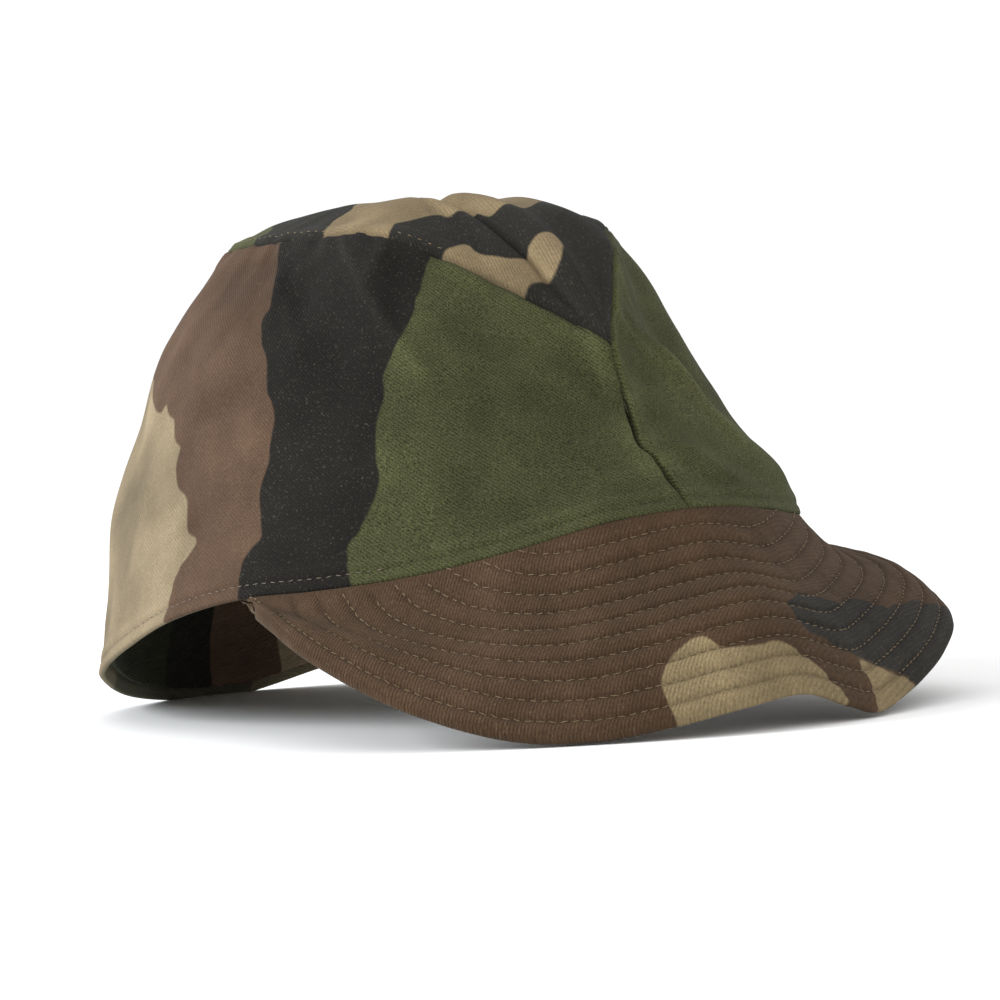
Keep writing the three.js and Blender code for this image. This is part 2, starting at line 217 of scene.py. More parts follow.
def roundCorners(outline):
    corners = np.array(outline, float)
    for cut in cornerCuts:
        ahead = np.roll(corners, -1, axis=0)
        short = cut * (ahead - corners)
        corners = np.stack([corners + short, ahead - short], 1).reshape(-1, 2)
    return corners


def patchDepth(x, y, outline):  # how far inside an outline each point is, in mm; negative outside
    corners = roundCorners(outline)
    nearest = np.full(x.shape, 1e9)
    inside = np.zeros(x.shape, bool)
    for (x0, y0), (x1, y1) in zip(corners, np.roll(corners, -1, axis=0)):
        dx, dy = x1 - x0, y1 - y0
        t = np.clip(((x - x0) * dx + (y - y0) * dy) / (dx * dx + dy * dy + 1e-9), 0, 1)
        nearest = np.minimum(nearest, np.hypot(x - x0 - t * dx, y - y0 - t * dy))
        crosses = (y0 > y) != (y1 > y)
        inside ^= crosses & (x < x0 + (y - y0) * dx / (dy if dy else 1e-9))
    return np.where(inside, nearest, -nearest)


def printInks(x, y, base, patches, scale=(1.0, 1.0), seed=1):
    for size, reach in ragged:
        x = x + reach * softNoise(x, y, size, seed)
        y = y + reach * softNoise(x, y, size, seed + 1)
        seed += 2
    depth = {ink: np.full(x.shape, allOver if ink == base else -allOver) for ink in inks}
    for ink, outline in patches:
        inside = patchDepth(x, y, [(a * scale[0], b * scale[1]) for a, b in outline])
        for other in inks:
            if other == ink:
                depth[other] = np.maximum(depth[other], inside)
            else:
                depth[other] = np.minimum(depth[other], -inside)
    return np.stack([depth[ink] for ink in inks[1:]], -1)


# Patches of the side panels: angle round the head and height in percent.
rightPrint = {"base": "green", "patches": [
    ("black", [(31, 106), (32, 98), (34, 91), (38, 76), (42, 65), (46, 56), (46, 51), (48, 43), (48, 27),
               (50, 21), (53, 14), (56, 9), (55, -6), (150, -6), (150, 106)]),
    ("brown", [(80, 106), (77, 96), (72, 80), (74, 74), (72, 67), (70, 62), (70, 55), (68, 48), (68, 36),
               (70, 29), (71, 24), (69, 15), (71, 12), (74, 7), (74, -6), (140, -6), (132, 30), (138, 60),
               (126, 80), (130, 106)]),
    ("tan", [(126, 70), (112, 65), (110, 62), (101, 53), (98.5, 56), (96.5, 52), (94, 51), (92.5, 44),
             (89.5, 43), (91, 38), (90, 33), (86, 30), (86, 21), (83, 17), (84, 14), (88, 10), (90, 4),
             (93, -6), (140, -6), (142, 8), (156, 14), (158, 30), (146, 40), (144, 56), (134, 62)]),
    ("green", [(130, 106), (126, 88), (136, 74), (150, 76), (160, 60), (176, 54), (181, 40), (184, 106)]),
    ("black", [(146, 10), (140, -6), (184, -6), (184, 16), (166, 20), (158, 12)]),
    ("black", [(150, 106), (156, 90), (170, 84), (184, 72), (184, 106)])]}
leftPrint = {"base": "green", "patches": [
    ("black", [(296, 106), (290, 84), (292, 64), (280, 48), (284, 30), (276, 14), (278, -6), (236, -6),
               (240, 106)]),
    ("brown", [(268, 106), (262, 82), (266, 60), (256, 44), (262, 22), (254, -6), (214, -6), (222, 30),
               (214, 52), (228, 72), (224, 106)]),
    ("tan", [(240, 58), (246, 40), (238, 26), (242, 8), (238, -6), (206, -6), (208, 16), (200, 34), (212, 44),
             (222, 60)]),
    ("black", [(176, 106), (176, 72), (190, 78), (206, 90), (210, 106)]),
    ("black", [(176, 16), (176, -6), (192, -6), (196, 8), (186, 20)]),
    ("tan", [(186, -6), (187, 4), (194, 12), (206, 14), (212, -6)]),
    ("tan", [(302, -6), (299, 14), (290, 24), (277, 21), (268, 10), (264, -6)])]}
# Patches of the top panel: x and y in millimetres, seen from above.
topPrint = {"base": "black", "patches": [
    ("tan", [(-50, -22), (-43, -20), (-37, -13), (-32, -15), (-29, -12), (-18, -4), (-8, -13), (4, -6),
             (16, -14), (18, -30), (7, -39), (-5, -43), (-10, -42), (-11, -38), (-21, -41), (-22, -37),
             (-30, -37), (-34, -36), (-38, -39), (-48, -46)]),
    ("green", [(-54, 9), (-45, 9), (-35, 13), (-28, 22), (-14, 26), (-8, 44), (-30, 62), (-58, 50)]),
    ("tan", [(-34, -52), (-29, -49), (-22, -49), (-22, -52), (-18, -55), (-16, -57), (-11, -57), (-9.5, -64),
             (-16, -63), (-18, -64), (-24, -68)]),
    ("tan", [(-12.5, -58), (-10.5, -56), (-7, -55.5), (-2, -56.5), (-3, -60), (-6, -63), (-9, -64.5),
             (-12.5, -64)]),
    ("green", [(24, -2), (34, 8), (50, 2), (46, -26), (32, -22)]),
    ("brown", [(4, 30), (16, 22), (30, 26), (40, 20), (30, 50), (6, 58)])]}
# Patches of the peak: angle and share of the way from its seam to its edge, in percent.
peakPrint = {"base": "brown", "patches": [
    ("tan", [(24, 106), (24, 96), (24, 89), (23, 83), (20, 78), (16, 73), (13, 73), (12, 77), (9, 80),
             (6, 80), (4, 80), (0, 81), (-2, 85), (-5, 90), (-9, 95), (-11, 98), (-12, 106)]),
    ("black", [(-6, 62), (-10, 52), (-14, 48), (-18, 51), (-23, 57), (-27, 55), (-31, 61), (-34, 67),
               (-36, 72), (-38, 71), (-45, 79), (-52, 90), (-57, 106), (-32, 106), (-30, 95), (-26, 91),
               (-23, 85), (-18, 82), (-16, 81), (-10, 78), (-7, 78), (-6, 71)]),
    ("tan", [(-18, 82), (-23, 85), (-26, 91), (-30, 96), (-32, 106), (-19, 106), (-19, 98), (-20, 94),
             (-19, 86)])]}
# Patches of the neck flap, as on the side panels.
flapPrint = {"base": "green", "patches": [
    ("tan", [(296, 60), (186, 60), (186, 30), (184, 16), (184, -10), (296, -10)]),
    ("brown", [(197, 60), (195, 34), (192, 22), (190.5, 14), (191.5, 6), (191.5, -10), (175, -10), (174, 10),
               (176, 26), (172, 40), (172, 60)]),
    ("brown", [(262, 70), (250, 60), (246, 40), (250, 18), (244, -10), (228, -10), (232, 20), (226, 42),
               (236, 70)]),
    ("black", [(164, 60), (168, 30), (160, 12), (162, -10), (176, -10), (174, 20), (178, 60)])]}


def toWorld(points):  # millimetres from the middle of the rim to metres in the frame
    return (points + np.array(rim["centre"])) * mm


# Materials.
def linearColour(code):  # sRGB hex to linear
    parts = [int(code[i:i + 2], 16) / 255 for i in (1, 3, 5)]
    return [c / 12.92 if c <= 0.04045 else ((c + 0.055) / 1.055) ** 2.4 for c in parts] + [1.0]


def addNode(tree, kind, settings=None, inputs=None):
    node = tree.nodes.new(kind)
    for name, value in (settings or {}).items():
        setattr(node, name, value)
    for socket, value in (inputs or {}).items():
        if isinstance(value, bpy.types.NodeSocket):
            tree.links.new(value, node.inputs[socket])
        else:
            node.inputs[socket].default_value = value
    return node


# Printed cotton twill, washed and worn: very matt, with a fine diagonal rib, and paler where the ink has
# rubbed off the yarn. Its hollows and grooves carry painted shade and its crests painted highlight, taken
# from the relief. The real rib is about 0.4 wide and its yarn 0.15, too fine for the render, so rib, fibre
# and fleck are drawn about twice as coarse.
cotton = {
    "green": "#44462b", "tan": "#84765e", "brown": "#534032", "black": "#1c1a17",
    "reverse": "#6a6754", "bareFibre": "#9a917c",
    "inkSoftness": 0.3, "inkOverlap": 0.35,  # blur of an ink's edge, and how far it runs under the next
    "rib": 0.75, "ribDepth": 0.14, "ribTone": 0.11,  # spacing, height, and how much darker and lighter
    "fibre": 0.36, "fibreTone": 0.41, "fibreHeight": 0.6,  # height as a share of the rib's
    "grain": {"green": 1.8, "tan": 0.55, "brown": 0.6, "black": 0.7},  # how strongly the weave shows
    "fleck": 0.62, "fleckFrom": 0.58, "fleckTo": 0.74,  # size, and how rare and how sharp
    "wear": 15.0, "wearTone": 0.17,
    "hollow": 0.64, "crest": 1.2, "reliefEnd": 0.8,  # painted shade of hollows and painted highlight of crests, this far under and over the cloth's level
    "roughness": 0.93, "specular": 0.12, "sheen": 0.02, "sheenRoughness": 0.6, "bumpStrength": 0.8}
waveUnit = 0.314  # a wave texture of scale 1 repeats after this length


def clothMaterial(name, fade, ribAngle, fleckAmount=0.2, shift=None):
    material = bpy.data.materials.new(name)
    material.use_nodes = True
    tree = material.node_tree
    tree.nodes.clear()
    dye = {**cotton, **(shift or {})}
    lay = addNode(tree, "ShaderNodeAttribute", {"attribute_name": "lay"}).outputs["Vector"]
    depth = addNode(tree, "ShaderNodeAttribute", {"attribute_name": "inkDepth"}).outputs["Vector"]
    depths = addNode(tree, "ShaderNodeSeparateXYZ", inputs={0: depth})
    # each ink over the last, from its signed depth
    colour, strength = linearColour(dye["green"]), dye["grain"]["green"]
    for place, ink in enumerate(inks[1:]):
        start = -(2 - place) * dye["inkOverlap"]
        mask = addNode(tree, "ShaderNodeMapRange", inputs={
            0: depths.outputs[place], 1: start - dye["inkSoftness"], 2: start + dye["inkSoftness"]})
        layer = addNode(tree, "ShaderNodeMix", {"data_type": "RGBA"}, {
            0: mask.outputs[0], 6: colour, 7: linearColour(dye[ink])})
        stronger = addNode(tree, "ShaderNodeMix", {"data_type": "FLOAT"}, {
            0: mask.outputs[0], 2: strength, 3: dye["grain"][ink]})
        colour, strength = layer.outputs[2], stronger.outputs[0]
    # worn patches, yarn, bare flecks and the rib, all laid along the cloth
    wear = addNode(tree, "ShaderNodeTexNoise", inputs={
        "Vector": lay, "Scale": 1 / dye["wear"], "Detail": 4.0, "Roughness": 0.6})
    fibre = addNode(tree, "ShaderNodeTexNoise", inputs={
        "Vector": lay, "Scale": 1 / dye["fibre"], "Detail": 2.0, "Roughness": 0.6})
    fleck = addNode(tree, "ShaderNodeTexNoise", inputs={
        "Vector": lay, "Scale": 1 / dye["fleck"], "Detail": 3.0, "Roughness": 0.75})
    turned = addNode(tree, "ShaderNodeMapping", inputs={
        "Vector": lay, "Rotation": (0, 0, math.radians(ribAngle))})
    rib = addNode(tree, "ShaderNodeTexWave", {"wave_type": "BANDS", "bands_direction": "X"}, {
        "Vector": turned.outputs[0], "Scale": waveUnit / dye["rib"], "Distortion": 0.8, "Detail": 2.0,
        "Detail Scale": 2.5})
    # How much lighter or darker each makes the ink. Noise keeps near 0.5, so its middle is stretched.
    wornTone = addNode(tree, "ShaderNodeMapRange", inputs={
        0: wear.outputs[0], 1: 0.32, 2: 0.68, 3: 1 - dye["wearTone"], 4: 1 + dye["wearTone"]})
    fibreTone = addNode(tree, "ShaderNodeMapRange", inputs={
        0: fibre.outputs[0], 1: 0.28, 2: 0.72, 3: -dye["fibreTone"], 4: dye["fibreTone"]})
    ribTone = addNode(tree, "ShaderNodeMapRange", inputs={
        0: rib.outputs["Fac"], 3: -dye["ribTone"], 4: dye["ribTone"]})
    weave = addNode(tree, "ShaderNodeMath", {"operation": "ADD"}, {
        0: fibreTone.outputs[0], 1: ribTone.outputs[0]})
    weaveTone = addNode(tree, "ShaderNodeMath", {"operation": "MULTIPLY_ADD"}, {
        0: weave.outputs[0], 1: strength, 2: 1.0})
    # painted shade in the cloth's hollows, seam and stitch grooves and painted highlight on its crests, read
    # from the relief height in lay
    level = addNode(tree, "ShaderNodeSeparateXYZ", inputs={0: lay}).outputs[2]
    paintedShadeAndHighlight = addNode(tree, "ShaderNodeMapRange", inputs={
        0: level, 1: -dye["reliefEnd"], 2: dye["reliefEnd"], 3: dye["hollow"], 4: dye["crest"]})
    wornWeave = addNode(tree, "ShaderNodeMath", {"operation": "MULTIPLY"}, {
        0: wornTone.outputs[0], 1: weaveTone.outputs[0]})
    value = addNode(tree, "ShaderNodeMath", {"operation": "MULTIPLY"}, {
        0: wornWeave.outputs[0], 1: paintedShadeAndHighlight.outputs[0]})
    shade = addNode(tree, "ShaderNodeHueSaturation", inputs={"Color": colour, "Value": value.outputs[0]})
    # bare fibres, then the unprinted reverse showing through
    bare = addNode(tree, "ShaderNodeMapRange", inputs={
        0: fleck.outputs[0], 1: dye["fleckFrom"], 2: dye["fleckTo"], 3: 0.0, 4: fleckAmount})
    flecked = addNode(tree, "ShaderNodeMix", {"data_type": "RGBA"}, {
        0: bare.outputs[0], 6: shade.outputs[0], 7: linearColour(dye["bareFibre"])})
    faded = addNode(tree, "ShaderNodeMix", {"data_type": "RGBA"}, {
        0: fade, 6: flecked.outputs[2], 7: linearColour(dye["reverse"])})
    fibreHeight = addNode(tree, "ShaderNodeMath", {"operation": "MULTIPLY"}, {
        0: fibre.outputs[0], 1: dye["fibreHeight"]})
    height = addNode(tree, "ShaderNodeMath", {"operation": "ADD"}, {
        0: rib.outputs["Fac"], 1: fibreHeight.outputs[0]})
    bump = addNode(tree, "ShaderNodeBump", inputs={
        "Height": height.outputs[0], "Distance": dye["ribDepth"] * mm, "Strength": dye["bumpStrength"]})
    shader = addNode(tree, "ShaderNodeBsdfPrincipled", inputs={
        "Base Color": faded.outputs[2], "Roughness": dye["roughness"], "Normal": bump.outputs[0],
        "Specular IOR Level": dye["specular"], "Sheen Weight": dye["sheen"],
        "Sheen Roughness": dye["sheenRoughness"]})
    addNode(tree, "ShaderNodeOutputMaterial", inputs={0: shader.outputs[0]})
    return material


# Twisted polyester-cotton thread: a little smoother than the cloth, lighter and darker along its twist.
sewingThread = {"dull": "#74634a", "dark": "#6c6155", "twist": 0.3125, "darkest": 0.7, "lightest": 1.25,
                "roughness": 0.7, "specular": 0.3}


def threadMaterial(name, code):
    material = bpy.data.materials.new(name)
    material.use_nodes = True
    tree = material.node_tree
    shader = tree.nodes["Principled BSDF"]
    where = addNode(tree, "ShaderNodeTexCoord").outputs["Object"]
    twist = addNode(tree, "ShaderNodeTexNoise", inputs={
        "Vector": where, "Scale": 1 / (sewingThread["twist"] * mm), "Detail": 1.0})
    tint = addNode(tree, "ShaderNodeMapRange", inputs={
        0: twist.outputs[0], 3: sewingThread["darkest"], 4: sewingThread["lightest"]})
    shade = addNode(tree, "ShaderNodeHueSaturation", inputs={
        "Color": linearColour(code), "Value": tint.outputs[0]})
    tree.links.new(shade.outputs[0], shader.inputs["Base Color"])
    shader.inputs["Roughness"].default_value = sewingThread["roughness"]
    shader.inputs["Specular IOR Level"].default_value = sewingThread["specular"]
    return material


print("making cloth and thread")
acrossDye = {"tan": "#7a6a50", "black": "#1d1c1a", "ribDepth": 0.08,
             "grain": {"green": 1.0, "tan": 0.6, "brown": 0.7, "black": 0.6}}
# Inside the crown the flap's tan and brown are lightened as painted light and its green darkened as painted
# shade.
flapPaintedLightDye = {"green": "#2d3122", "brown": "#634c3c", "tan": "#a8967a"}
# The peak's brown and tan are darkened as painted shade and its black lightened as painted light.
peakPaintedLightDye = {"tan": "#7f7053", "brown": "#473627", "black": "#2c2925",
           "grain": {"green": 1.0, "tan": 0.8, "brown": 0.85, "black": 0.75}}
printedTwill = clothMaterial("printedTwill", 0.0, 43)  # crisp inks on a clear diagonal rib
printedTwillAcross = clothMaterial("printedTwillAcross", 0.03, 8, 0.24, acrossDye)  # turned, flatter, worn
twillReverse = clothMaterial("twillReverse", 0.55, 118)  # inks half soaked through, greyer
flapTwillPaintedLight = clothMaterial("flapTwillPaintedLight", 0.05, 70, shift=flapPaintedLightDye)  # its inks as painted light and shade inside the crown: tan and brown lighter, green darker
printedPeakPaintedLight = clothMaterial("printedPeakPaintedLight", 0.0, 62, shift=peakPaintedLightDye)  # brown and tan darker as painted shade, black lighter as painted light; smoother from handling
peakReverse = clothMaterial("peakReverse", 0.1, 62, shift=peakPaintedLightDye)  # printed too, a little faded, with the same painted light and shade
threadDull = threadMaterial("threadDull", sewingThread["dull"])  # tan thread that stands out on dark inks
threadDark = threadMaterial("threadDark", sewingThread["dark"])  # greyer thread of the hem


def meshVolume(points, triangles):
    a, b, c = (points[triangles[:, k]] for k in range(3))
    return float(np.sum(a * np.cross(b, c)) / 6)


def roundedEdge(last, under, before, turns, reach):  # points round a free edge, from one skin to the other
    middle, half = (last + under) / 2, (last - under) / 2
    forward = unit(last - before) * np.linalg.norm(half, axis=-1, keepdims=True) * reach
    angles = np.linspace(0, np.pi, turns + 2)[1:-1]
    return np.stack([middle + half * math.cos(t) + forward * math.sin(t) for t in angles], 1)


def makeShell(name, outer, inner, lay, inkDepth, materials, ring=False, turns=3, reach=0.6):
    columns, rows = outer.shape[:2]
    strips = [outer, roundedEdge(outer[:, -1], inner[:, -1], outer[:, -2], turns, reach), inner[:, ::-1]]
    if not ring:
        strips.append(roundedEdge(inner[:, 0], outer[:, 0], inner[:, 1], turns, reach))
    section = np.concatenate(strips, 1)
    around = section.shape[1]
    points = section.reshape(-1, 3)
    points[:, 2] = np.maximum(points[:, 2], 0)  # cloth lies flat where it meets the floor
    values = {}
    for key, grid in (("lay", lay), ("inkDepth", inkDepth)):
        first, last = (np.repeat(grid[:, row][:, None], turns, axis=1) for row in (0, -1))
        strips = [grid, last, grid[:, ::-1]] + ([] if ring else [first])
        values[key] = np.concatenate(strips, 1).reshape(-1, 3)
    i = np.arange(columns if ring else columns - 1)[:, None]
    j = np.arange(around - 1 if ring else around)[None, :]
    nextI, nextJ = (i + 1) % columns, (j + 1) % around
    quads = np.stack(np.broadcast_arrays(i * around + j, i * around + nextJ, nextI * around + nextJ,
                                         nextI * around + j), -1)
    within = (j >= rows + turns // 2) & (j < 2 * rows + turns + turns // 2)
    faces = quads.reshape(-1, 4).tolist()
    slots = np.broadcast_to(within, quads.shape[:2]).reshape(-1).astype(int).tolist()
    if ring:  # both skins close in a fan at the middle
        for row, skin in ((0, 0), (around - 1, 1)):
            hub = len(points)
            points = np.vstack([points, section[:, row].mean(0)])
            for key, grid in values.items():
                values[key] = np.vstack([grid, grid[row:columns * around:around].mean(0)])
            for k in range(columns):
                a, b = k * around + row, (k + 1) % columns * around + row
                faces.append([hub, b, a] if skin else [hub, a, b])
                slots.append(skin)
    else:
        last = 2 * rows + turns - 1
        caps = [(k, k + 1, last - k - 1, last - k) for k in range(rows - 1)]
        caps += [tuple(range(rows - 1, rows + turns + 1)), tuple(range(last, last + turns + 1)) + (0,)]
        for face in caps:
            faces.append(list(face)[::-1])
            faces.append([(columns - 1) * around + k for k in face])
            slots += [0, 0]
    triangles = np.array([face[:3] for face in faces]
                         + [face[:1] + face[2:4] for face in faces if len(face) > 3])
    if meshVolume(points, triangles) < 0:
        faces = [face[::-1] for face in faces]
    mesh = bpy.data.meshes.new(name)
    mesh.from_pydata(toWorld(points).tolist(), [], faces)
    for key, grid in values.items():
        mesh.attributes.new(key, "FLOAT_VECTOR", "POINT").data.foreach_set("vector", grid.ravel())
    for material in materials:
        mesh.materials.append(material)
    mesh.polygons.foreach_set("material_index", slots)
    mesh.polygons.foreach_set("use_smooth", [True] * len(faces))
    mesh.update()
    piece = bpy.data.objects.new(name, mesh)
    bpy.context.scene.collection.objects.link(piece)
    print(name, len(mesh.polygons), "faces")
    return piece


# Cloth relief shared by the panels, in mm.
relief = {"seamGroove": 0.75, "seamWidth": 1.0, "allowance": 0.3, "allowanceFrom": 1.2,
          "allowanceTo": 6.0, "allowanceEdge": 0.35, "pucker": 0.55, "puckerPitch": 5.2,
          "puckerStretch": 0.35, "puckerReach": 8.0, "hem": 0.25, "hemWidth": 5.6, "hemEdge": 0.3,
          "stitchLine": 2.6, "stitchGroove": 0.3, "stitchGrooveWidth": 0.7, "slack": 0.75,
          "slackSize": 27.0, "rumple": 0.34, "rumpleSize": 9.0, "calmNear": 12.0, "calmShare": 0.15,
          "insideShare": 0.4}


def clothSlack(x, y, seed):
    return (relief["slack"] * softNoise(x, y, relief["slackSize"], seed)
            + relief["rumple"] * softNoise(x, y, relief["rumpleSize"], seed + 5))


def calmed(distance):  # seams and hems hold the cloth taut
    return np.clip(distance / relief["calmNear"], relief["calmShare"], 1)


def seamRelief(distance, along, seed, width=relief["seamWidth"]):  # from the distance to a stitched seam
    groove = -relief["seamGroove"] * ridge(distance, 0, width)
    raised = relief["allowance"] * plateau(
        distance, relief["allowanceFrom"], relief["allowanceTo"], relief["allowanceEdge"])
    gather = softNoise(along, distance * relief["puckerStretch"], relief["puckerPitch"], seed)
    return groove + raised + relief["pucker"] * gather * np.exp(-distance / relief["puckerReach"])


def alongRows(points):  # running length down each column of a grid
    steps = np.linalg.norm(np.diff(points, axis=1), axis=-1)
    return np.concatenate([np.zeros((len(points), 1)), np.cumsum(steps, axis=1)], 1)


def alongColumns(points):
    return alongRows(points.transpose(1, 0, 2)).T


wallLook = {"columns": 380, "rows": 92, "crowdAround": 0.5, "crowdUp": 0.55, "thickness": 1.6,
            "frontSeam": 0.55, "frontDepth": 0.45, "deeperUp": 2.2, "flatAtRim": 9.0, "leastAtRim": 0.3,
            "swayReach": 26.0, "welt": 0.55, "weltPlace": 1.3, "weltWidth": 0.6,
            "topWeltPlace": 1.6, "topWeltWidth": 0.9, "topWeltFrom": 322.0, "topWeltOver": 18.0}
slackDents = [  # x, y, z, outward, reach: the soft shoulder of the left panel and the hollow under it
    (32, -43, 104, 2.6, 13), (21, -69, 88, -4.0, 15)]
creases = [  # angle, up, to angle, to up, height, half width: folds on both sides of the front, given painted highlight on their crests by the cloth's relief tone
    (52, 0.96, 44, 0.73, 0.55, 2.2), (44, 0.73, 38, 0.57, 0.5, 2.0), (42, 0.95, 46, 0.86, 0.5, 2.0),
    (40, 0.92, 41, 0.8, -0.5, 4.0), (66, 0.89, 58, 0.95, 0.5, 2.4), (70, 0.86, 64, 0.81, -0.6, 2.2),
    (68, 0.77, 64, 0.68, 0.45, 2.4), (81, 0.95, 83, 0.9, -0.5, 3.0), (348, 0.97, 341, 0.7, 0.45, 2.0),
    (336, 0.62, 332, 0.3, 0.5, 2.6)]
frontSway = smoothTable([  # height share up the front seam, degrees towards the wearer's right
    (0, 0), (0.12, 0.3), (0.27, 0.9), (0.325, 1.3), (0.36, 2.5), (0.40, 2.6), (0.48, 1.9), (0.58, 0.9),
    (0.7, 0.15), (0.85, 0), (1, 0)])


def sidePanel(name, fromAngle, toAngle, printing, seed):
    isLeft = fromAngle > 0
    angles = fromAngle + (toAngle - fromAngle) * spread(wallLook["columns"], wallLook["crowdAround"])
    ups = spread(wallLook["rows"], wallLook["crowdUp"])
    offFront = np.minimum(angles, 360 - angles) / wallLook["swayReach"]
    swayed = angles[:, None] + frontSway(ups)[None, :, 0] * np.clip(1 - offFront, 0, 1)[:, None] ** 2
    base = wallPoint(swayed, ups[None, :])
    for *centre, outward, reach in slackDents if isLeft else []:
        away = np.linalg.norm(base - np.array(centre), axis=-1)
        base += rimOut(angles)[:, None] * (outward * ridge(away, 0, reach))[..., None]
    normals = gridNormals(base, rimOut(angles)[:, None, :])
    up, across = alongRows(base), alongColumns(base)
    fromTop = up[:, -1:] - up
    fromFront, fromBack = across, across[-1:] - across
    if isLeft:
        fromFront, fromBack = fromBack, fromFront
    k, high = side["mmPerDegree"], side["mmHigh"]
    x, y = np.broadcast_arrays(swayed * k, ups[None, :] * high)
    height = clothSlack(x, y, seed) * calmed(np.minimum(fromTop, up))
    height += seamRelief(fromTop, x, seed + 1)
    for a, u, b, v, size, half in creases:
        height += foldHeight(x, y, a * k, u * high, b * k, v * high, size, half)
    front = seamRelief(fromFront, y, seed + 2, wallLook["frontSeam"])
    frontDepth = wallLook["frontDepth"] * (1 + wallLook["deeperUp"] * ups)
    front -= frontDepth * ridge(fromFront, 0, wallLook["frontSeam"])
    if isLeft:
        front += wallLook["welt"] * ridge(fromFront, wallLook["weltPlace"], wallLook["weltWidth"])
    seams = front + seamRelief(fromBack, y, seed + 3)
    height += seams * np.clip(up / wallLook["flatAtRim"], wallLook["leastAtRim"], 1)
    hem = relief["hem"] * (1 / (1 + np.exp((up - relief["hemWidth"]) / relief["hemEdge"])) - 1)
    height += hem - relief["stitchGroove"] * ridge(up, relief["stitchLine"], relief["stitchGrooveWidth"])
    if isLeft:
        topWelt = ridge(fromTop, wallLook["topWeltPlace"], wallLook["topWeltWidth"])
        rising = np.clip((swayed - wallLook["topWeltFrom"]) / wallLook["topWeltOver"], 0, 1)
        height += wallLook["welt"] * topWelt * rising
    outer = base + normals * height[..., None]
    inner = base - normals * (wallLook["thickness"] - relief["insideShare"] * height[..., None])
    inkDepth = printInks(x, y, printing["base"], printing["patches"], (k, high / 100), seed)
    middle = wallLook["rows"] // 2
    # lay: along the cloth, up it, and the relief height that the material turns into painted shade and
    # highlight
    lay = np.stack([np.broadcast_to(across[:, middle:middle + 1], up.shape), up, height], -1)
    piece = makeShell(name + "_cloth", outer, inner, lay, inkDepth, [printedTwill, twillReverse])
    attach(piece, "root")
    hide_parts(name)
    return outer, normals, angles


print("cutting the panels")
rightWall = sidePanel("side_panel_right", 0, 180, rightPrint, 11)
leftWall = sidePanel("side_panel_left", 180, 360, leftPrint, 23)

# The top panel, rings round the summit. Two pleats run back from the front point.
topLook = {"columns": 330, "rows": 84, "crowding": 0.86, "thickness": 1.5, "flatAtSeam": 3.0, "pleats": [
    # plan line, step height, softness
    ([(-12, -30), (-13, -41), (-12, -49), (-10, -57), (-10, -62), (-9, -66), (-8, -72), (-5, -80)],
     1.7, 0.8),
    ([(-19, -27), (-21, -36), (-20, -41), (-19, -46), (-18, -53)], 0.9, 1.4)]}


def besideLine(x, y, line):  # signed distance to a drawn line, positive on its +x side, and share along it
    best = np.full(x.shape, 1e9)
    signed = np.zeros(x.shape)
    share = np.zeros(x.shape)
    count = len(line) - 1
    for k, ((x0, y0), (x1, y1)) in enumerate(zip(line[:-1], line[1:])):
        dx, dy = x1 - x0, y1 - y0
        t = np.clip(((x - x0) * dx + (y - y0) * dy) / (dx * dx + dy * dy), 0, 1)
        gap = np.hypot(x - x0 - t * dx, y - y0 - t * dy)
        turn = np.sign(dx * (y - y0) - dy * (x - x0))
        closer = gap < best
        best = np.where(closer, gap, best)
        signed = np.where(closer, turn * gap, signed)
        share = np.where(closer, (k + t) / count, share)
    return signed, share


pleat = {"edge": 0.35, "lapReach": 9.0, "hollow": 0.45, "hollowPlace": 0.8, "startsAt": 0.08,
         "fullness": 0.8}


def pleatHeight(x, y, line, step, softness):  # the +x side laps over: a sharp step, fading out away from it
    gap, share = besideLine(x, y, line)
    edge = 1 / (1 + np.exp(-gap / (softness * pleat["edge"])))
    lap = edge * np.exp(-np.maximum(gap, 0) / pleat["lapReach"])
    hollow = -pleat["hollow"] * ridge(gap, -softness * pleat["hollowPlace"], softness)
    place = np.clip(share * (1 - pleat["startsAt"]) + pleat["startsAt"], 0, 1)
    return step * (lap + hollow) * np.sin(np.pi * place) ** pleat["fullness"]


def topPanel():
    angles = np.linspace(0, 360, topLook["columns"] + 1)[:-1]
    shares = np.linspace(0, 1, topLook["rows"] + 1)[1:] ** topLook["crowding"]
    base = topPoint(angles[:, None], shares[None, :])
    closed = np.concatenate([base[-1:], base, base[:1]])
    normals = gridNormals(closed, np.array([0, 0, 1.0]))[1:-1]
    x, y = base[..., 0], base[..., 1]
    toSeam = alongRows(base)
    toSeam = toSeam[:, -1:] - toSeam
    height = clothSlack(x, y, 41) * calmed(toSeam)
    height += seamRelief(toSeam, np.broadcast_to(angles[:, None], x.shape), 43)
    for line, step, softness in topLook["pleats"]:
        height += pleatHeight(x, y, line, step, softness) * np.clip(toSeam / topLook["flatAtSeam"], 0, 1)
    outer = base + normals * height[..., None]
    inner = base - normals * (topLook["thickness"] - relief["insideShare"] * height[..., None])
    inkDepth = printInks(x, y, topPrint["base"], topPrint["patches"], seed=47)
    # lay: across the plan, and the relief height that the material turns into painted shade and highlight
    lay = np.stack([x, y, height], -1)
    materials = [printedTwillAcross, twillReverse]
    piece = makeShell("crown_top_cloth", outer, inner, lay, inkDepth, materials, ring=True)
    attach(piece, "root")
    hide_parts("crown_top")
    return outer, normals


topSkin, topNormals = topPanel()

